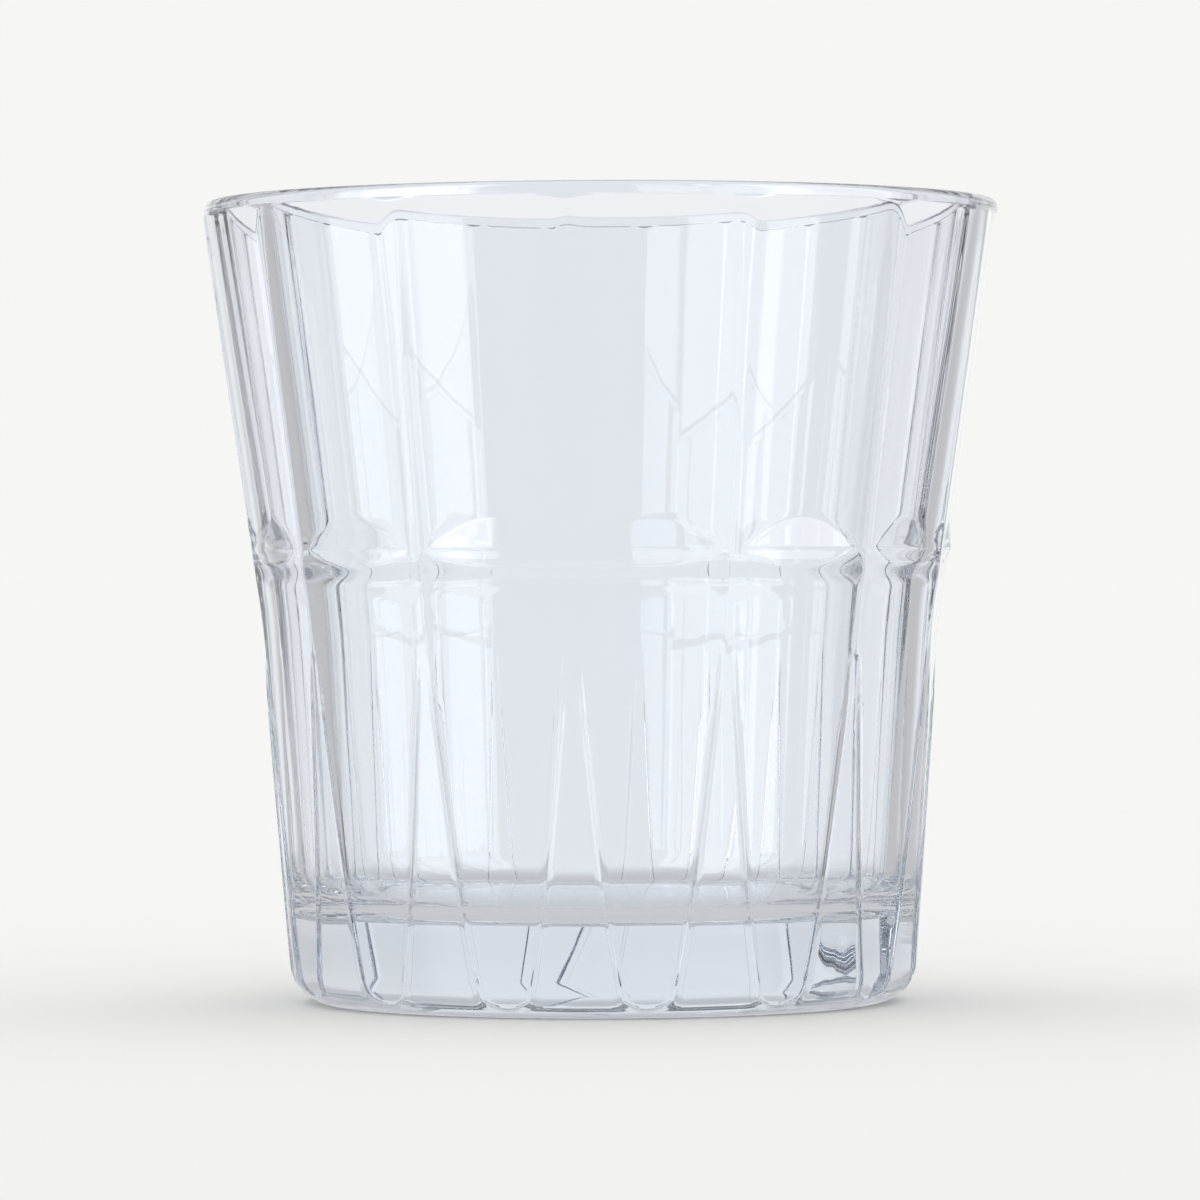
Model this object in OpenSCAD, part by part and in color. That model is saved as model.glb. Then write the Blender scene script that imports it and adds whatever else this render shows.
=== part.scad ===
// Pressed juice glass: one piece of clear glass, with flat facets above and tapering panels below a belt

/* [Overall] */
// Height from the table to the top of the rim
height = 80; // [70:0.5:100]
// Outside diameter of the rim
rim_d = 79.3; // [70:0.1:95]
// Number of flat facets round the glass
facet_count = 14; // [11:1:18]
// Turn of the ridge that is nearest the front
front_ridge_turn = -4.9; // [-12:0.1:12]

/* [Rim] */
// Radius that rounds the lip on the outside and the inside
lip_r = 0.75; // [0.5:0.05:0.9]
// Height of the plain round band at the rim
rim_band_h = 1.2; // [1:0.1:3]
// How far the ridge lines, run on to the foot of the band, stand out past the rim
ridge_proud = 0.45; // [0.3:0.05:0.6]
// Slope of the shoulder between a facet and the rim band, from the level
rim_shoulder_angle = 10; // [5:1:20]
// How far below the foot of the band the ridges start to slope in to it
ridge_end_drop = 0.7; // [0.6:0.05:1]
// Height over which the ridges slope in
ridge_end_h = 0.4; // [0.3:0.05:0.5]

/* [Upper facets] */
// Flare of the ridges above the waist, from the upright
upper_flare = 8.36; // [6:0.1:10]
// How far the ridges are blunted, short of the corner where two facets would meet
ridge_blunt = 0.06; // [0.04:0.01:0.15]
// Height at which the upper facets meet the lower panels
waist_z = 38; // [35:0.5:42]
// How far below that the ridge line itself bends
ridge_bend_drop = 0.4; // [0.2:0.1:1]

/* [Lower panels] */
// Flare of the ridges below the waist, from the upright
lower_flare = 4.94; // [4.4:0.02:5.5]
// Flare of the flat lower panels, from the upright: less than that of the ridges, which widens them downwards
panel_flare = 3.84; // [3:0.01:4]

/* [Belt] */
// Height of the belt's widest level
belt_z = 45.1; // [44:0.1:50]
// Rise of the belt's upper flank, where the facets run out in arches
belt_upper_h = 3.2; // [2:0.1:4]
// Fall of the belt's lower flank
belt_lower_h = 1.6; // [1:0.1:3]
// How far the belt's widest level lies inside the ridges
belt_below_ridge = 0.15; // [0.1:0.05:0.3]
// How much further the belt's flanks run on inside the wall, as a share of their heights
belt_root_share = 0.2; // [0.1:0.05:0.3]

/* [Cavity] */
// Thickness of the wall under the lip, at the ridges
rim_wall = 1.5; // [1.5:0.05:2.4]
// Flare of the cavity above its inner step, from the upright
cavity_upper_flare = 9.2; // [9:0.1:10.6]
// Flare of the cavity below its inner step, from the upright
cavity_lower_flare = 4.6; // [3.5:0.1:6]
// Height of the inner step's upper edge
step_z = 45; // [43:0.5:48]
// Height of the inner step itself
step_h = 3.4; // [2:0.1:5]
// How far the inner step draws in
step_in = 1.2; // [0.4:0.1:1.6]
// Thickness of the solid base under the middle of the cavity
base_t = 9; // [7:0.5:12]
// Radius of the corner between the cavity's wall and its floor
floor_corner_r = 5; // [3:0.5:8]

/* [Foot] */
// Radius of the heel between the side and the underside
heel_r = 4; // [3:0.1:5]
// Radius of the heel under a panel, where the panel runs out on the heel
panel_heel_r = 3.94; // [2.9:0.01:4.95]
// How far the centre of that radius lies below the centre of the heel
panel_heel_drop = 0.15; // [0.1:0.01:0.25]
// Depth of the hollow under the base
punt_h = 0.8; // [0.4:0.1:1.5]
// Width of the flat ring that the glass stands on
foot_ring_w = 2; // [1:0.1:4]
// Width of the slope between the ring and the hollow
foot_slope_w = 1.6; // [1:0.1:3]

/* [Hidden] */
glass_tint = [0.86, 0.92, 0.94, 0.45];
// Overrun of every cut past the glass
cut_over = 2;
// Steps in each quarter of a rounded corner
arc_steps = 6;
round_fn = 128;

half_facet = 180 / facet_count;
rim_r = rim_d / 2;

// Ridge line above the waist, measured from the foot of the rim band
band_z = height - rim_band_h;
ridge_top_r = rim_r + ridge_proud;
function upper_ridge_r(z) = ridge_top_r - (band_z - z) * tan(upper_flare);
function upper_facet_r(z) = (upper_ridge_r(z) + ridge_blunt) * cos(half_facet);
ridge_end_z = band_z - ridge_end_drop;
ridge_bend_z = waist_z - ridge_bend_drop;
ridge_bend_r = upper_ridge_r(ridge_bend_z);
waist_facet_r = upper_facet_r(waist_z);
function lower_ridge_r(z) = ridge_bend_r - (ridge_bend_z - z) * tan(lower_flare);
function lower_panel_r(z) = waist_facet_r - (waist_z - z) * tan(panel_flare);

// Points of an arc, from one angle to another, round a centre
function arc(centre, r, from, to, steps) =
    [for (i = [0:steps]) centre + r * [cos(from + (to - from) * i / steps), sin(from + (to - from) * i / steps)]];

// Heel: its arc meets the ridge line of the side, and the level of the table
heel_side_angle = -lower_flare;
heel_centre_z = heel_r;
heel_centre_r = lower_ridge_r(heel_r + heel_r * sin(heel_side_angle)) - heel_r * cos(heel_side_angle);
foot_inner_r = heel_centre_r - foot_ring_w;

// Heel under a panel: its arc meets the panel's plane
panel_heel_z = heel_r - panel_heel_drop;
panel_touch_r = lower_panel_r(panel_heel_z - panel_heel_r * sin(panel_flare));
panel_heel_centre_r = panel_touch_r - panel_heel_r * cos(panel_flare);

// Lip: one arc outside and one inside, with a short level top between them
lip_centre_z = height - lip_r;
lip_outer_r = rim_r - lip_r;
cavity_rim_r = rim_r - rim_wall;
lip_inner_r = cavity_rim_r + lip_r;

// Cavity: upper cone, inner step, lower cone, rounded corner and level floor
step_low_z = step_z - step_h;
step_upper_r = cavity_rim_r - (lip_centre_z - step_z) * tan(cavity_upper_flare);
step_lower_r = step_upper_r - step_in;
function cavity_lower_r(z) = step_lower_r - (step_low_z - z) * tan(cavity_lower_flare);
corner_side_z = base_t + floor_corner_r * (1 - sin(cavity_lower_flare));
corner_centre_r = cavity_lower_r(corner_side_z) - floor_corner_r * cos(cavity_lower_flare);

// Side view of the uncut glass: hollow under the foot, heel, ridge lines, rim band and lip
module outer_profile() {
    polygon(concat(
        [[0, punt_h], [foot_inner_r - foot_slope_w, punt_h], [foot_inner_r, 0]],
        arc([heel_centre_r, heel_centre_z], heel_r, -90, heel_side_angle, arc_steps),
        [[ridge_bend_r, ridge_bend_z], [upper_ridge_r(ridge_end_z), ridge_end_z], [rim_r, ridge_end_z + ridge_end_h]],
        arc([lip_outer_r, lip_centre_z], lip_r, 0, 90, arc_steps),
        [[0, height]]
    ));
}

// Side view of the cavity, run past the top of the rim
module cavity_profile() {
    polygon(concat(
        [[0, base_t]],
        arc([corner_centre_r, base_t + floor_corner_r], floor_corner_r, -90, -cavity_lower_flare, arc_steps),
        [[step_lower_r, step_low_z], [step_upper_r, step_z]],
        arc([lip_inner_r, lip_centre_z], lip_r, 180, 90, arc_steps),
        [[lip_inner_r, height + cut_over], [0, height + cut_over]]
    ));
}

// Side view of what a panel's cut takes away: the facet above, the lower panel below, the shoulder at the rim
module panel_profile() {
    shoulder_z = band_z - (rim_r - upper_facet_r(band_z)) * tan(rim_shoulder_angle);
    far_r = ridge_top_r + cut_over;
    shoulder_top_z = shoulder_z + (far_r - upper_facet_r(shoulder_z)) * tan(rim_shoulder_angle);
    polygon(concat(
        [[panel_heel_centre_r, -cut_over]],
        arc([panel_heel_centre_r, panel_heel_z], panel_heel_r, -90, -panel_flare, arc_steps),
        [
            [waist_facet_r, waist_z],
            [upper_facet_r(shoulder_z), shoulder_z],
            [far_r, shoulder_top_z],
            [far_r, -cut_over]
        ]
    ));
}

module panel_cut() {
    cut_w = 2 * ridge_top_r * tan(half_facet) + cut_over;
    translate([0, cut_w / 2, 0]) rotate([90, 0, 0]) linear_extrude(cut_w) panel_profile();
}

// The belt that stands out from the facets: they run out on it in arches
module belt() {
    belt_r = upper_ridge_r(belt_z) - belt_below_ridge;
    run = 1 + belt_root_share;
    upper_in = belt_r - upper_facet_r(belt_z + belt_upper_h);
    lower_in = belt_r - upper_facet_r(belt_z - belt_lower_h);
    top_z = belt_z + belt_upper_h * run;
    low_z = belt_z - belt_lower_h * run;
    rotate_extrude($fn = round_fn) polygon([
        [step_upper_r, low_z],
        [belt_r - lower_in * run, low_z],
        [belt_r, belt_z],
        [belt_r - upper_in * run, top_z],
        [step_upper_r, top_z]
    ]);
}

module tumbler() {
    color(glass_tint) difference() {
        union() {
            difference() {
                rotate_extrude($fn = round_fn) outer_profile();
                for (i = [0:facet_count - 1])
                    rotate([0, 0, -90 + front_ridge_turn + half_facet * (2 * i + 1)]) panel_cut();
            }
            belt();
        }
        rotate_extrude($fn = round_fn) cavity_profile();
    }
}

tumbler();
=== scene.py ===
"""Dresses the pressed juice glass: clear glass on a pale floor, in soft studio light.

Lengths are metres, apart from the sizes of the glass itself, which are millimetres as in its drawing.
"""

import logging
import math
from dataclasses import dataclass, field
from enum import Enum
from functools import lru_cache

import bmesh
import bpy
from mathutils import Matrix, Vector


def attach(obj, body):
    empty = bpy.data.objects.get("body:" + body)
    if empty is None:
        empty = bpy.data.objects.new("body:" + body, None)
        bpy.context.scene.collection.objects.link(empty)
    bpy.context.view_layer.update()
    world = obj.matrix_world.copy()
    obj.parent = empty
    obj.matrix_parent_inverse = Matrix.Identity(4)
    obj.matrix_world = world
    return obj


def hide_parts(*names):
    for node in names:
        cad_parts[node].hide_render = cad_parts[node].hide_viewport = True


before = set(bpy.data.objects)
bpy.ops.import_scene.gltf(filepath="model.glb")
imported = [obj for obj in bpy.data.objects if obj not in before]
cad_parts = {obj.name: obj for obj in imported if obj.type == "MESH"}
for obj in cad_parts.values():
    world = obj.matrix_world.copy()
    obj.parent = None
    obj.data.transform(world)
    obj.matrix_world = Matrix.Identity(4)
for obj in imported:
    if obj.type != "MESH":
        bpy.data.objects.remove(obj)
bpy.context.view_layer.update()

log = logging.getLogger("juice_glass")
MM = 0.001
# Slack for comparing two sizes in millimetres
SLACK = 0.001
# Distances in metres within which vertices are one: in a turned skin, and at the lip where two skins meet
SKIN_GAP = 1e-7
SEAM_GAP = 2e-6


def smooth_max(a: float, b: float, width: float) -> float:
    """Joins two curves like a maximum, with a rounded corner.

    Args:
        a: the first curve's value.
        b: the second curve's value.
        width: the difference within which the corner is rounded.

    Returns:
        The rounded maximum.
    """
    gap = max(width - abs(a - b), 0.0) / width
    return max(a, b) + gap * gap * width / 4


def smooth_min(a: float, b: float, width: float) -> float:
    """Joins two curves like a minimum, with a rounded corner.

    Args:
        a: the first curve's value.
        b: the second curve's value.
        width: the difference within which the corner is rounded.

    Returns:
        The rounded minimum.
    """
    return -smooth_max(-a, -b, width)


def ease(value: float, start: float, end: float) -> float:
    """Changes smoothly from 0 to 1 between two limits.

    Args:
        value: where to read the curve.
        start: the limit that gives 0.
        end: the limit that gives 1, above or below the first.

    Returns:
        A share from 0 to 1.
    """
    share = min(max((value - start) / (end - start), 0.0), 1.0)
    return share * share * (3 - 2 * share)


def arc(
    centre_r: float, centre_z: float, radius: float, start: float, end: float, steps: int
) -> list[tuple[float, float]]:
    """Walks along an arc in the glass's side view.

    Args:
        centre_r: the arc centre's distance from the axis.
        centre_z: the arc centre's height.
        radius: the arc's radius.
        start: the first angle in degrees, from outwards.
        end: the last angle in degrees.
        steps: how many stretches the arc is cut into.

    Returns:
        The points, first and last included.
    """
    angles = (math.radians(start + (end - start) * i / steps) for i in range(steps + 1))
    return [(centre_r + radius * math.cos(a), centre_z + radius * math.sin(a)) for a in angles]


def levels(low: float, high: float, count: int) -> list[float]:
    """Divides a height evenly.

    Args:
        low: the first height.
        high: the last height.
        count: how many stretches there are.

    Returns:
        The heights, both ends included.
    """
    return [low + (high - low) * i / count for i in range(count + 1)]


# Told apart by identity, because the caches look the plan up for every vertex
@dataclass(frozen=True, eq=False)
class PanelPlan:
    """Sizes of the panelled outside, in millimetres and degrees."""

    height: float = 80.0
    rim_d: float = 79.3
    facet_count: int = 14
    front_ridge_turn: float = -4.9
    lip_r: float = 0.75
    rim_band_h: float = 1.2
    shoulder_low_z: float = 78.69
    shoulder_top_z: float = 78.76
    ridge_proud: float = 0.45
    ridge_end_z: float = 78.15
    ridge_end_clearance: float = 5.0
    ridge_soft_z: float = 62.0
    ridge_soft_w: float = 1.4
    ridge_blunt: float = 0.06
    upper_flare: float = 8.36
    waist_z: float = 38.0
    waist_round: float = 0.12
    lower_flare: float = 4.94
    panel_flare: float = 3.84
    belt_z: float = 45.1
    belt_upper_h: float = 3.2
    belt_lower_h: float = 1.6
    belt_below_ridge: float = 0.15
    belt_round: float = 0.06
    belt_reach: float = 6.0
    heel_r: float = 4.0
    tongue_round_z: float = 2.0
    tongue_end_z: float = 1.05
    punt_h: float = 0.8
    foot_ring_w: float = 2.0
    foot_slope_w: float = 1.6
    foot_bend_w: float = 0.4
    foot_bend_h: float = 0.16
    edge_round_w: float = 0.1
    edge_soften_h: float = 8.0
    ridge_round_w: float = 0.45
    bead_h: float = 0.18
    bead_w: float = 0.28
    bead_top_drop: float = 2.0
    bead_full_drop: float = 9.0
    bead_foot_z: float = 0.3
    bead_foot_full_z: float = 0.7
    bead_least_slope: float = 0.02
    bead_read_step: float = 0.05

    @property
    def half_facet(self) -> float:
        """Half the angle of one panel, in radians."""
        return math.pi / self.facet_count

    @property
    def band_z(self) -> float:
        """Height of the foot of the rim band."""
        return self.height - self.rim_band_h

    def upper_ridge_r(self, z: float) -> float:
        """Radius of the ridge line above the waist at a height."""
        drop = (self.band_z - z) * math.tan(math.radians(self.upper_flare))
        return self.rim_d / 2 + self.ridge_proud - drop

    def lower_ridge_r(self, z: float) -> float:
        """Radius of the ridge line below the waist at a height."""
        drop = (self.waist_z - z) * math.tan(math.radians(self.lower_flare))
        return self.upper_ridge_r(self.waist_z) - drop

    @lru_cache(maxsize=8192)
    def ridge_r(self, z: float) -> float:
        """Radius of the whole ridge line at a height, with its bend at the waist rounded."""
        return smooth_max(self.upper_ridge_r(z), self.lower_ridge_r(z), self.waist_round)

    @lru_cache(maxsize=8192)
    def panel_r(self, z: float) -> float:
        """Finds how far the middle of a panel is from the axis.

        Args:
            z: the height.

        Returns:
            The distance in millimetres.
        """
        upper = (self.upper_ridge_r(z) + self.ridge_blunt) * math.cos(self.half_facet)
        waist = (self.upper_ridge_r(self.waist_z) + self.ridge_blunt) * math.cos(self.half_facet)
        lower = waist - (self.waist_z - z) * math.tan(math.radians(self.panel_flare))
        return smooth_max(upper, lower, self.waist_round)

    @property
    def heel_top_z(self) -> float:
        """Height at which the heel's arc meets the side."""
        return self.heel_r * (1 - math.sin(math.radians(self.lower_flare)))

    @property
    def heel_centre_r(self) -> float:
        """Distance from the axis to the centre of the heel's arc."""
        return self.lower_ridge_r(self.heel_top_z) - self.heel_r * math.cos(math.radians(self.lower_flare))

    @lru_cache(maxsize=8192)
    def belt_r(self, z: float) -> float:
        """Finds the radius of the belt's own surface, which lies inside the glass away from the belt.

        Args:
            z: the height.

        Returns:
            The radius in millimetres.
        """
        crest = self.upper_ridge_r(self.belt_z) - self.belt_below_ridge
        top_z, low_z = self.belt_z + self.belt_upper_h, self.belt_z - self.belt_lower_h
        upper_slope = (crest - self.panel_r(top_z)) / self.belt_upper_h
        lower_slope = (crest - self.panel_r(low_z)) / self.belt_lower_h
        above = crest - (z - self.belt_z) * upper_slope
        below = crest - (self.belt_z - z) * lower_slope
        return smooth_min(above, below, self.belt_round * 2)

    @lru_cache(maxsize=8192)
    def flat_share(self, z: float) -> float:
        """Finds how near a panel's middle is to the axis, as a share of the ridge line's radius.

        Args:
            z: the height.

        Returns:
            The share: under 1 on a panel, over 1 below its rounded end.
        """
        dip = 1 - self.panel_r(z) / self.ridge_r(z)
        past = max(self.tongue_round_z - z, 0.0) / (self.tongue_round_z - self.tongue_end_z)
        return 1 - dip * (1 - past * past)

    @lru_cache(maxsize=8192)
    def edge_angle(self, z: float) -> float:
        """Angle from a panel's middle to its edge at a height, in radians."""
        return min(math.acos(min(self.flat_share(z), 1.0)), self.half_facet)

    @lru_cache(maxsize=8192)
    def edge_w(self, z: float) -> float:
        """Finds half the width over which an edge is rounded, which grows towards the rim.

        Args:
            z: the height.

        Returns:
            The width in millimetres.
        """
        rise = max(z - self.ridge_soft_z, 0.0) / (self.height - self.ridge_soft_z)
        soften = ease(z, self.waist_z - self.edge_soften_h, self.waist_z)
        crisp = self.edge_round_w + (self.ridge_round_w - self.edge_round_w) * soften
        return crisp + (self.ridge_soft_w - self.ridge_round_w) * rise * rise

    def bead(self, offset: float, z: float) -> float:
        """Finds the height of the fine raised line that the mould leaves along the edge of a lower panel.

        Args:
            offset: the angle from the middle of the nearest panel, in radians.
            z: the height at which it is read.

        Returns:
            The line's height in millimetres.
        """
        if z > self.waist_z:
            return 0.0
        step = self.bead_read_step
        below, here, above = (
            self.ridge_r(at) * (1 - self.flat_share(at) / math.cos(offset)) for at in (z - step, z, z + step)
        )
        slope = math.hypot(math.tan(offset), (above - below) / (2 * step))
        away = here / (max(slope, self.bead_least_slope) * self.bead_w)
        top_share = ease(z, self.waist_z - self.bead_top_drop, self.waist_z - self.bead_full_drop)
        foot_share = ease(z, self.bead_foot_z, self.bead_foot_full_z)
        return self.bead_h * top_share * foot_share * max(1 - away * away, 0.0) ** 2

    @lru_cache(maxsize=8192)
    def ridge_end_r(self, z: float) -> float:
        """Finds the radius of the round form at the top that the ridges run out on.

        Args:
            z: the height.

        Returns:
            The radius in millimetres, well outside the glass below that form.
        """
        share = max(z - self.ridge_end_z, 0.0) / (self.shoulder_top_z - self.ridge_end_z)
        proud = self.upper_ridge_r(self.ridge_end_z) - self.rim_d / 2
        clear = self.ridge_end_clearance * max(self.ridge_end_z - z, 0.0)
        return self.rim_d / 2 + proud * max(1 - share * share, 0.0) + clear

    def panelled_r(self, offset: float, z: float, turned_r: float) -> float:
        """Finds how far the panels and the ridges between them are from the axis.

        Args:
            offset: the angle from the middle of the nearest panel, in radians.
            z: the height.
            turned_r: the radius of the surface that the panels are pressed into.

        Returns:
            The distance in millimetres.
        """
        edge = self.edge_angle(z)
        if edge <= 0:
            return turned_r + self.bead(offset, z)
        away = abs(offset)
        width = self.edge_w(z)
        r = turned_r * self.flat_share(z) / math.cos(min(away, edge))
        for corner in (edge, 2 * self.half_facet - edge):
            reach = width - turned_r * abs(away - corner)
            if reach > 0:
                r -= math.tan(edge) * reach * reach / (4 * width)
        return r + self.bead(offset, z)

    def outside_r(self, offset: float, z: float, turned_r: float) -> float:
        """Finds how far the finished outside is from the axis: panels, belt and the rim's shoulder.

        Args:
            offset: the angle from the middle of the nearest panel, in radians.
            z: the height.
            turned_r: the radius of the turned outside there.

        Returns:
            The distance in millimetres: the turned radius on the lip and under the foot.
        """
        on_side = z < self.height - self.lip_r + SLACK and turned_r > self.heel_centre_r + SLACK
        if not on_side:
            return turned_r
        r = self.panelled_r(offset, z, turned_r)
        if z > self.belt_z - self.belt_reach:
            r = smooth_max(r, self.belt_r(z), self.belt_round)
        r = smooth_min(r, self.ridge_end_r(z), self.edge_round_w)
        return r + (self.rim_d / 2 - r) * ease(z, self.shoulder_low_z, self.shoulder_top_z)


@dataclass(frozen=True)
class CavityPlan:
    """Sizes of the inside, in millimetres and degrees."""

    rim_wall: float = 1.5
    lip_r: float = 0.4
    upper_flare: float = 9.2
    lower_flare: float = 4.6
    step_z: float = 45.0
    step_h: float = 3.4
    step_in: float = 1.2
    base_t: float = 9.0
    corner_r: float = 5.0
    floor_rise: float = 0.3


@dataclass(frozen=True)
class MeshGrain:
    """How finely each stretch of the glass is divided, and how far the fine stretches reach in millimetres."""

    # Columns from a panel's middle to its edge line, on each side of that line, and on half a panel in all
    panel: int = 9
    edge: int = 3
    half_panel: int = 20
    # Least widths that the columns leave to half a panel and to half a ridge, in widths of the edge line
    panel_room: float = 3.0
    ridge_room: float = 4.0
    # Rows on the outside, from the foot up
    heel: int = 26
    lower_side: int = 18
    waist: int = 10
    belt: int = 32
    upper_side: int = 12
    ridge_end: int = 10
    shoulder: int = 7
    rim_band: int = 3
    lip: int = 8
    # How far below the waist, below and above the belt, below the ridges' ends and round the shoulder they reach
    waist_below: float = 4.0
    belt_below: float = 3.0
    belt_above: float = 5.0
    ridge_end_below: float = 0.1
    shoulder_margin: float = 0.03
    # Rows on the inside: each straight wall, the step, the corner and the floor
    wall: int = 5
    step: int = 10
    corner: int = 12
    floor: int = 6


class Nodes:
    """Adds nodes to a node tree and joins them as they are made."""

    def __init__(self, tree: bpy.types.NodeTree) -> None:
        """Takes the node tree of a material or of the world."""
        self.tree = tree

    def add(self, kind: str, **settings: str) -> bpy.types.Node:
        """Adds a node.

        Args:
            kind: the node's type.
            **settings: its properties.

        Returns:
            The node.
        """
        node = self.tree.nodes.new(kind)
        for name, value in settings.items():
            setattr(node, name, value)
        return node

    def feed(self, socket: bpy.types.NodeSocket, value: "Value") -> None:
        """Sets an input, or joins another node's output to it.

        Args:
            socket: the input.
            value: what it gets.
        """
        if isinstance(value, bpy.types.NodeSocket):
            self.tree.links.new(value, socket)
        else:
            socket.default_value = value

    def maths(self, operation: str, *values: "Value") -> bpy.types.NodeSocket:
        """Adds a Math node.

        Args:
            operation: its operation.
            *values: its inputs.

        Returns:
            Its output.
        """
        node = self.add("ShaderNodeMath", operation=operation)
        for socket, value in zip(node.inputs, values):
            self.feed(socket, value)
        return node.outputs["Value"]

    def rise(
        self, value: "Value", low: float, high: float, first: float = 0.0, last: float = 1.0
    ) -> bpy.types.NodeSocket:
        """Adds a smooth change between two limits.

        Args:
            value: what is read.
            low: the value where the change starts.
            high: the value where it ends.
            first: the result at the start.
            last: the result at the end.

        Returns:
            The result.
        """
        node = self.add("ShaderNodeMapRange", interpolation_type="SMOOTHSTEP")
        limits = {"Value": value, "From Min": low, "From Max": high, "To Min": first, "To Max": last}
        for name, item in limits.items():
            self.feed(node.inputs[name], item)
        return node.outputs["Result"]

    def window(self, value: "Value", low: float, high: float, soft: float) -> bpy.types.NodeSocket:
        """Adds a window with soft edges.

        Args:
            value: what is read.
            low: the middle of the first edge.
            high: the middle of the second edge.
            soft: half the width of an edge.

        Returns:
            1 between the edges and 0 outside them.
        """
        opened = self.rise(value, low - soft, low + soft)
        closed = self.rise(value, high - soft, high + soft, 1.0, 0.0)
        return self.maths("MULTIPLY", opened, closed)

    def mix(self, share: "Value", first: "Value", second: "Value") -> bpy.types.NodeSocket:
        """Mixes two shaders.

        Args:
            share: how much of the second there is.
            first: the first shader.
            second: the second shader.

        Returns:
            The mixed shader.
        """
        node = self.add("ShaderNodeMixShader")
        for socket, value in zip(node.inputs, (share, first, second)):
            self.feed(socket, value)
        return node.outputs["Shader"]


Value = float | tuple[float, ...] | bpy.types.NodeSocket


@dataclass(frozen=True)
class ClearGlass:
    """Clear pressed glass with a faint cool tint and a slightly wavy surface."""

    name: str = "clear_glass"
    colour: tuple[float, float, float, float] = (0.947, 0.969, 1.0, 1.0)
    ior: float = 1.52
    roughness: float = 0.0
    depth_colour: tuple[float, float, float, float] = (0.59, 0.651, 0.733, 1.0)
    depth_density: float = 10.0
    wave_scale: float = 90.0
    wave_h: float = 0.00003
    flow_scale: tuple[float, float, float] = (420.0, 420.0, 40.0)
    flow_h: float = 0.000006

    def relief(
        self, nodes: Nodes, place: bpy.types.NodeSocket, scale: float, height: float, under: Value | None
    ) -> bpy.types.NodeSocket:
        """Adds one fine waviness to the surface.

        Args:
            nodes: the node tree to work in.
            place: the coordinates it is read at.
            scale: how many waves there are in a unit of those.
            height: how high they are, in metres.
            under: the surface that they lie on, if it isn't the plain one.

        Returns:
            The waved surface's direction.
        """
        noise = nodes.add("ShaderNodeTexNoise")
        nodes.feed(noise.inputs["Vector"], place)
        nodes.feed(noise.inputs["Scale"], scale)
        nodes.feed(noise.inputs["Detail"], 1.0)
        bump = nodes.add("ShaderNodeBump")
        nodes.feed(bump.inputs["Strength"], 1.0)
        nodes.feed(bump.inputs["Distance"], height)
        nodes.feed(bump.inputs["Height"], noise.outputs["Fac"])
        if under:
            nodes.feed(bump.inputs["Normal"], under)
        return bump.outputs["Normal"]

    def material(self) -> bpy.types.Material:
        """Builds the glass shader.

        Returns:
            The material.
        """
        material = bpy.data.materials.new(self.name)
        material.use_nodes = True
        nodes = Nodes(material.node_tree)
        shader = material.node_tree.nodes["Principled BSDF"]
        nodes.feed(shader.inputs["Base Color"], self.colour)
        nodes.feed(shader.inputs["IOR"], self.ior)
        nodes.feed(shader.inputs["Roughness"], self.roughness)
        nodes.feed(shader.inputs["Transmission Weight"], 1.0)
        place = nodes.add("ShaderNodeTexCoord").outputs["Object"]
        waves = self.relief(nodes, place, self.wave_scale, self.wave_h, None)
        stretch = nodes.add("ShaderNodeMapping")
        nodes.feed(stretch.inputs["Vector"], place)
        nodes.feed(stretch.inputs["Scale"], self.flow_scale)
        flow = self.relief(nodes, stretch.outputs["Vector"], 1.0, self.flow_h, waves)
        nodes.feed(shader.inputs["Normal"], flow)
        depth = nodes.add("ShaderNodeVolumeAbsorption")
        nodes.feed(depth.inputs["Color"], self.depth_colour)
        nodes.feed(depth.inputs["Density"], self.depth_density)
        nodes.feed(material.node_tree.nodes["Material Output"].inputs["Volume"], depth.outputs["Volume"])
        return material


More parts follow.
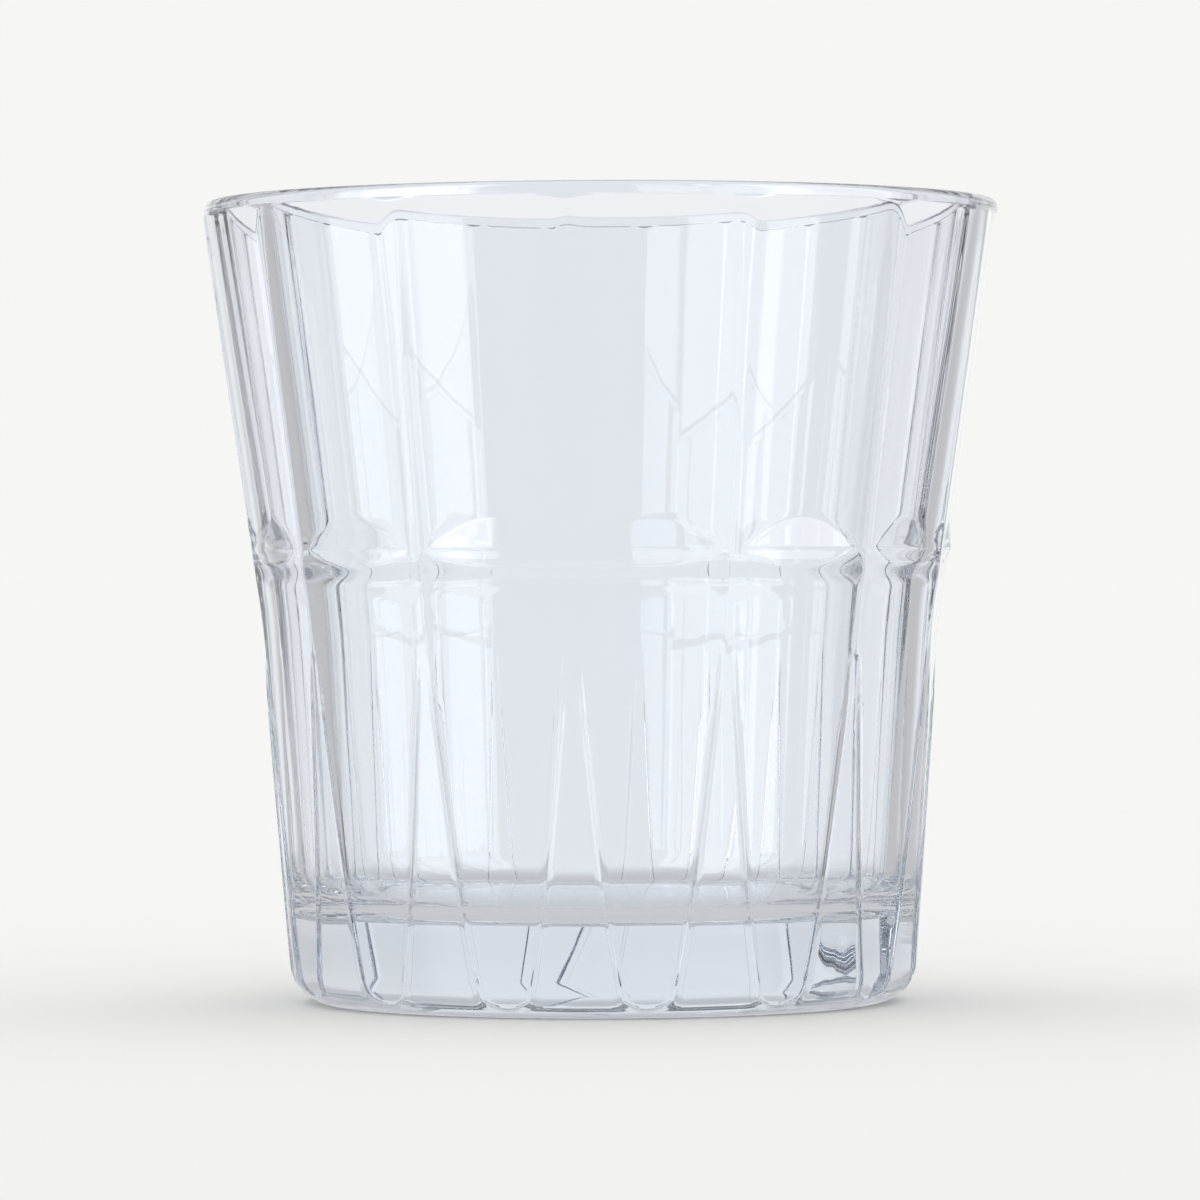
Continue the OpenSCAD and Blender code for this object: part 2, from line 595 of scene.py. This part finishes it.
@dataclass
class Tumbler:
    """The whole glass: panelled outside, plain inside, one closed skin."""

    panels: PanelPlan = field(default_factory=PanelPlan)
    cavity: CavityPlan = field(default_factory=CavityPlan)
    grain: MeshGrain = field(default_factory=MeshGrain)
    glass: ClearGlass = field(default_factory=ClearGlass)

    @property
    def columns(self) -> int:
        """Number of columns of faces round the glass."""
        return 2 * self.panels.facet_count * self.grain.half_panel

    def side_levels(self) -> list[float]:
        """Sets the heights of the rows on the side, closest together where the form turns.

        Returns:
            The heights, from the heel to the lip.
        """
        p, g = self.panels, self.grain
        stretches = (
            (p.waist_z - g.waist_below, g.lower_side),
            (p.belt_z - g.belt_below, g.waist),
            (p.belt_z + g.belt_above, g.belt),
            (p.ridge_end_z - g.ridge_end_below, g.upper_side),
            (p.shoulder_low_z - g.shoulder_margin, g.ridge_end),
            (p.shoulder_top_z + g.shoulder_margin, g.shoulder),
            (p.height - p.lip_r, g.rim_band),
        )
        rows = [p.heel_top_z]
        for top_z, count in stretches:
            rows += levels(rows[-1], top_z, count)[1:]
        return rows

    def outside_profile(self) -> list[tuple[float, float]]:
        """Draws the side view of the outside as a plain turned form.

        Returns:
            Its points, from the foot's middle to the lip's crest.
        """
        p, g = self.panels, self.grain
        foot_r = p.heel_centre_r - p.foot_ring_w
        points = [(0.0, p.punt_h), (foot_r / 2, p.punt_h), (foot_r - p.foot_slope_w, p.punt_h)]
        points += [(foot_r - p.foot_bend_w, p.foot_bend_h), (foot_r, 0.0)]
        points += arc(p.heel_centre_r, p.heel_r, p.heel_r, -90, -p.lower_flare, g.heel)
        points += [(p.ridge_r(z), z) for z in self.side_levels()[1:]]
        points += arc(p.rim_d / 2 - p.lip_r, p.height - p.lip_r, p.lip_r, 0, 90, g.lip)[1:]
        return points

    def inside_profile(self) -> list[tuple[float, float]]:
        """Draws the side view of the inside.

        Returns:
            Its points, from the lip's crest to the floor's middle.
        """
        p, c, g = self.panels, self.cavity, self.grain
        rim_r = p.rim_d / 2 - c.rim_wall
        lip_z = p.height - c.lip_r
        step_r = rim_r - (lip_z - c.step_z) * math.tan(math.radians(c.upper_flare))
        low_r, low_z = step_r - c.step_in, c.step_z - c.step_h
        tilt = math.radians(c.lower_flare)
        corner_z = c.base_t + c.corner_r * (1 - math.sin(tilt))
        corner_r = low_r - (low_z - corner_z) * math.tan(tilt)
        centre_r = corner_r - c.corner_r * math.cos(tilt)
        # Rows close together at the ends of a straight wall keep the bends beside it crisp
        shares = [ease(i, 0, g.wall) for i in range(1, g.wall)]
        points = [(p.rim_d / 2 - p.lip_r, p.height)]
        points += arc(rim_r + c.lip_r, lip_z, c.lip_r, 90, 180, g.lip)
        points += [(rim_r + (step_r - rim_r) * share, lip_z + (c.step_z - lip_z) * share) for share in shares]
        points += [
            (step_r - c.step_in * ease(i, 0, g.step), c.step_z - c.step_h * i / g.step) for i in range(g.step + 1)
        ]
        points += [(low_r + (corner_r - low_r) * share, low_z + (corner_z - low_z) * share) for share in shares]
        points += arc(centre_r, c.base_t + c.corner_r, c.corner_r, -c.lower_flare, -90, g.corner)
        points += [
            (centre_r * (1 - i / g.floor), c.base_t + c.floor_rise * ease(i, 0, g.floor))
            for i in range(1, g.floor + 1)
        ]
        return points

    def turned(self, profile: list[tuple[float, float]]) -> bmesh.types.BMesh:
        """Turns a side view about the axis.

        Args:
            profile: the points of the side view, in millimetres.

        Returns:
            The turned mesh, closed where the profile meets the axis.
        """
        bm = bmesh.new()
        chain = [bm.verts.new((r * MM, 0.0, z * MM)) for r, z in profile]
        edges = [bm.edges.new(pair) for pair in zip(chain, chain[1:])]
        bmesh.ops.spin(
            bm, geom=[*chain, *edges], cent=(0, 0, 0), axis=(0, 0, 1), angle=math.tau,
            steps=self.columns, use_merge=True, use_normal_flip=False, use_duplicate=False,
        )
        bmesh.ops.remove_doubles(bm, verts=bm.verts, dist=SKIN_GAP)
        return bm

    def column_at(self, x: float, y: float) -> int:
        """Number of the column of the turned form that a point stands in."""
        column_turn = math.tau / self.columns
        return round(math.atan2(y, x) / column_turn) % self.columns

    def column_angle(self, column: int, z: float) -> tuple[float, float]:
        """Places one column of the mesh so that its neighbours follow the panels' edges.

        Args:
            column: the column's number round the glass.
            z: the height in millimetres.

        Returns:
            The angle from the middle of its panel and the panel's own angle, in radians.
        """
        p, g = self.panels, self.grain
        panel, step = divmod(column + g.half_panel, 2 * g.half_panel)
        step -= g.half_panel
        count = abs(step)
        gap = p.bead_w / p.ridge_r(z)
        edge = min(max(p.edge_angle(z), g.panel_room * gap), p.half_facet - g.ridge_room * gap)
        past_edge = g.panel + 2 * g.edge
        if count < g.panel:
            away = (edge - gap) * count / g.panel
        elif count <= past_edge:
            away = edge + gap * (count - g.panel - g.edge) / g.edge
        else:
            away = edge + gap + (p.half_facet - edge - gap) * (count - past_edge) / (g.half_panel - past_edge)
        return math.copysign(away, step), 2 * p.half_facet * panel

    def press(self, bm: bmesh.types.BMesh, panelled: bool) -> None:
        """Moves the columns of a turned skin to the panels' edges, and presses the panels into the outside.

        Args:
            bm: the turned skin, changed in place.
            panelled: whether it is the outside.
        """
        p = self.panels
        start = math.radians(p.front_ridge_turn - 90) + p.half_facet
        for v in bm.verts:
            x, y, z = (value / MM for value in v.co)
            r = math.hypot(x, y)
            edge_z = max(z, p.tongue_end_z) if panelled else p.height
            offset, middle = self.column_angle(self.column_at(x, y), edge_z)
            if panelled:
                r = p.outside_r(offset, z, r)
            angle = start + middle + offset
            v.co = Vector((r * math.cos(angle), r * math.sin(angle), z)) * MM

    def build(self) -> bpy.types.Object:
        """Makes the glass.

        Returns:
            Its object, at the origin.
        """
        skin = self.turned(self.outside_profile())
        self.press(skin, panelled=True)
        inside = self.turned(self.inside_profile())
        self.press(inside, panelled=False)
        part = bpy.data.meshes.new("inside")
        inside.to_mesh(part)
        inside.free()
        skin.from_mesh(part)
        bpy.data.meshes.remove(part)
        bmesh.ops.remove_doubles(skin, verts=skin.verts, dist=SEAM_GAP)
        bmesh.ops.recalc_face_normals(skin, faces=skin.faces)
        for face in skin.faces:
            face.smooth = True
        mesh = bpy.data.meshes.new("pressed_tumbler")
        skin.to_mesh(mesh)
        skin.free()
        piece = bpy.data.objects.new("pressed_tumbler", mesh)
        bpy.context.scene.collection.objects.link(piece)
        return piece

    def dress(self, piece: bpy.types.Object) -> None:
        """Gives the glass its finish."""
        piece.data.materials.append(self.glass.material())


class Ray(Enum):
    """The kinds of ray that the floor and the surroundings tell apart."""

    SEEN = "Is Camera Ray"
    MIRRORED = "Is Glossy Ray"
    PASSED = "Is Transmission Ray"


@dataclass(frozen=True)
class Softbox:
    """A soft light in the surroundings: where it stands round the glass and how high it reaches."""

    turn_low: float
    turn_high: float
    rise_low: float = -0.35
    rise_high: float = 0.85
    level: float = 2.4
    soft: float = 0.03


@dataclass
class Studio:
    """The pale floor, the surroundings and the camera."""

    camera_distance: float = 0.6947
    camera_height: float = 0.04304
    photo_side: float = 1200.0
    horizon_row: float = 571.0
    view_length: float = 6940.0
    axis_column: float = 602.0
    roll: float = 0.2
    sensor_w: float = 36.0
    clip_near: float = 0.01
    clip_far: float = 100.0
    light_bounces: int = 24
    floor_r: float = 30.0
    floor_sides: int = 96
    backdrop: tuple[float, float, float, float] = (0.922, 0.922, 0.905, 1.0)
    # The floor is a little darker towards the camera
    front_shade: float = 0.965
    front_shade_y: float = -0.26
    full_tone_y: float = -0.02
    # Painted shadow: under the glass, its solid base sees a darker floor, which stands in for the glass's shadow
    # there
    painted_shadow_level: float = 0.66
    painted_shadow_r: float = 0.04
    painted_shadow_fade_r: float = 0.07
    surroundings: tuple[float, float, float, float] = (1.0, 1.0, 1.0, 1.0)
    front_level: float = 0.12
    side_level: float = 0.55
    back_level: float = 0.98
    through_level: float = 0.9
    # Half angles from the front and from the back, in radians, and half the widths of the changes there
    front_half_turn: float = 1.75
    front_soft: float = 0.3
    back_half_turn: float = 0.5
    back_soft: float = 0.2
    ceiling_share: float = 0.7
    ceiling_low: float = 0.3
    ceiling_high: float = 0.8
    softboxes: tuple[Softbox, ...] = (
        Softbox(turn_low=-1.25, turn_high=-0.62, level=2.8),
        Softbox(turn_low=0.85, turn_high=1.6, level=2.4),
    )

    def light_paths(self) -> None:
        """Lets light bounce often enough inside the thick glass."""
        cycles = bpy.context.scene.cycles
        cycles.max_bounces = cycles.glossy_bounces = cycles.transmission_bounces = self.light_bounces

    def camera(self) -> None:
        """Places the camera level with the middle of the glass, far back with a long lens."""
        data = bpy.data.cameras.new("studio_camera")
        data.sensor_width = self.sensor_w
        data.lens = self.view_length / self.photo_side * self.sensor_w
        data.shift_x = (self.photo_side / 2 - self.axis_column) / self.photo_side
        data.shift_y = (self.horizon_row - self.photo_side / 2) / self.photo_side
        data.clip_start, data.clip_end = self.clip_near, self.clip_far
        camera = bpy.data.objects.new("studio_camera", data)
        stand = Matrix.Translation((0, -self.camera_distance, self.camera_height))
        upright = Matrix.Rotation(math.pi / 2, 4, "X")
        camera.matrix_world = stand @ upright @ Matrix.Rotation(math.radians(-self.roll), 4, "Z")
        bpy.context.scene.collection.objects.link(camera)
        bpy.context.scene.camera = camera

    def from_glass(self, nodes: Nodes, path: bpy.types.Node) -> bpy.types.NodeSocket:
        """Tells the light that reaches the eye by way of the glass, with 1, from all other light, with 0."""
        return nodes.maths("MAXIMUM", path.outputs[Ray.MIRRORED.value], path.outputs[Ray.PASSED.value])

    def seen_through(self, nodes: Nodes, path: bpy.types.Node) -> bpy.types.NodeSocket:
        """Reads how bright the surroundings are for light that has only passed through glass.

        Args:
            nodes: the node tree to work in.
            path: its Light Path node.

        Returns:
            The level: 0 for all other light.
        """
        passed = nodes.maths("GREATER_THAN", path.outputs["Transmission Depth"], 0.5)
        straight = nodes.maths("LESS_THAN", path.outputs["Glossy Depth"], 0.5)
        return nodes.maths("MULTIPLY", nodes.maths("MULTIPLY", passed, straight), self.through_level)

    def turn_from_front(self, nodes: Nodes, x: Value, y: Value) -> bpy.types.NodeSocket:
        """Reads the angle of a place round the glass, from the camera's side and to the right, in radians."""
        return nodes.maths("ARCTAN2", x, nodes.maths("MULTIPLY", y, -1.0))

    def around_level(self, nodes: Nodes, turn: Value) -> bpy.types.NodeSocket:
        """Reads how bright the surroundings are on each side: white behind, dimmer at the sides, dim in front.

        Args:
            nodes: the node tree to work in.
            turn: the angle from the front.

        Returns:
            The level.
        """
        away = nodes.maths("ABSOLUTE", turn)
        front, back = self.front_half_turn, math.pi - self.back_half_turn
        rear_extra = self.back_level - self.side_level
        rear = nodes.rise(away, back - self.back_soft, back + self.back_soft, 0.0, rear_extra)
        side = nodes.rise(
            away, front - self.front_soft, front + self.front_soft, self.front_level, self.side_level)
        return nodes.maths("ADD", side, rear)

    def felt_level(self, nodes: Nodes, path: bpy.types.Node, x: Value, y: Value) -> bpy.types.NodeSocket:
        """Reads how bright the floor is in the glass: as the surroundings, with a painted shadow that makes it
        darker under the glass.

        Args:
            nodes: the node tree to work in.
            path: its Light Path node.
            x: how far to the right of the glass a point of the floor lies.
            y: how far behind it the point lies.

        Returns:
            The level.
        """
        around = self.around_level(nodes, self.turn_from_front(nodes, x, y))
        around = nodes.maths("MAXIMUM", around, self.seen_through(nodes, path))
        squares = nodes.maths("ADD", nodes.maths("POWER", x, 2.0), nodes.maths("POWER", y, 2.0))
        # Painted shadow: close under the glass the floor glows at a lower, set level
        near = nodes.rise(nodes.maths("SQRT", squares), self.painted_shadow_r, self.painted_shadow_fade_r, 1.0, 0.0)
        under = nodes.maths("MULTIPLY", near, self.painted_shadow_level)
        beyond = nodes.maths("MULTIPLY", nodes.maths("SUBTRACT", 1.0, near), around)
        return nodes.maths("ADD", under, beyond)

    def floor(self) -> None:
        """Lays the pale floor, which catches the shadow of the glass."""
        bm = bmesh.new()
        bmesh.ops.create_circle(bm, cap_ends=True, radius=self.floor_r, segments=self.floor_sides)
        mesh = bpy.data.meshes.new("floor")
        bm.to_mesh(mesh)
        bm.free()
        floor = bpy.data.objects.new("floor", mesh)
        material = bpy.data.materials.new("pale_floor")
        material.use_nodes = True
        nodes = Nodes(material.node_tree)
        shader = material.node_tree.nodes["Principled BSDF"]
        nodes.feed(shader.inputs["Roughness"], 1.0)
        nodes.feed(shader.inputs["Specular IOR Level"], 0.0)
        place = nodes.add("ShaderNodeSeparateXYZ")
        nodes.feed(place.inputs[0], nodes.add("ShaderNodeTexCoord").outputs["Object"])
        x, y = place.outputs["X"], place.outputs["Y"]
        tone = nodes.add("ShaderNodeVectorMath", operation="SCALE")
        nodes.feed(tone.inputs["Vector"], self.backdrop[:3])
        shade = nodes.rise(y, self.front_shade_y, self.full_tone_y, self.front_shade, 1.0)
        nodes.feed(tone.inputs["Scale"], shade)
        nodes.feed(shader.inputs["Base Color"], tone.outputs["Vector"])
        path = nodes.add("ShaderNodeLightPath")
        glow = nodes.add("ShaderNodeEmission")
        nodes.feed(glow.inputs["Color"], self.surroundings)
        nodes.feed(glow.inputs["Strength"], self.felt_level(nodes, path, x, y))
        surface = nodes.mix(self.from_glass(nodes, path), shader.outputs["BSDF"], glow.outputs["Emission"])
        nodes.feed(material.node_tree.nodes["Material Output"].inputs["Surface"], surface)
        mesh.materials.append(material)
        bpy.context.scene.collection.objects.link(floor)

    def world(self) -> None:
        """Makes the surroundings: white behind the glass, dim before it, with a softbox on each side."""
        world = bpy.data.worlds.new("studio")
        bpy.context.scene.world = world
        world.use_nodes = True
        nodes = Nodes(world.node_tree)
        way = nodes.add("ShaderNodeSeparateXYZ")
        nodes.feed(way.inputs[0], nodes.add("ShaderNodeTexCoord").outputs["Generated"])
        x, y, z = (way.outputs[name] for name in "XYZ")
        turn = self.turn_from_front(nodes, x, y)
        ceiling = nodes.rise(z, self.ceiling_low, self.ceiling_high, 1.0, self.ceiling_share)
        level = nodes.maths("MULTIPLY", self.around_level(nodes, turn), ceiling)
        for box in self.softboxes:
            across = nodes.window(turn, box.turn_low, box.turn_high, box.soft)
            upright = nodes.window(z, box.rise_low, box.rise_high, box.soft)
            lit = nodes.maths("MULTIPLY", across, upright)
            level = nodes.maths("ADD", level, nodes.maths("MULTIPLY", lit, box.level))
        path = nodes.add("ShaderNodeLightPath")
        level = nodes.maths("MAXIMUM", level, self.seen_through(nodes, path))
        # Only the glass sees these levels: the floor is lit evenly, so that its tone is the backdrop's
        uneven = nodes.maths("MULTIPLY", self.from_glass(nodes, path), nodes.maths("SUBTRACT", level, 1.0))
        around = nodes.add("ShaderNodeBackground")
        nodes.feed(around.inputs["Strength"], nodes.maths("ADD", uneven, 1.0))
        nodes.feed(around.inputs["Color"], self.surroundings)
        plain = world.node_tree.nodes["Background"]
        nodes.feed(plain.inputs["Color"], self.backdrop)
        surface = nodes.mix(
            path.outputs[Ray.SEEN.value], around.outputs["Background"], plain.outputs["Background"])
        nodes.feed(world.node_tree.nodes["World Output"].inputs["Surface"], surface)

    def build(self) -> None:
        """Sets up all that isn't the glass."""
        self.light_paths()
        self.camera()
        self.floor()
        self.world()


def main() -> None:
    """Builds the glass and the studio."""
    logging.basicConfig(level=logging.INFO, format="%(message)s")
    bpy.context.scene.view_settings.view_transform = "Standard"
    tumbler = Tumbler()
    piece = tumbler.build()
    tumbler.dress(piece)
    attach(piece, "root")
    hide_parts("tumbler")
    log.info("%s: %d faces", piece.name, len(piece.data.polygons))
    Studio().build()


if __name__ == "__main__":
    main()
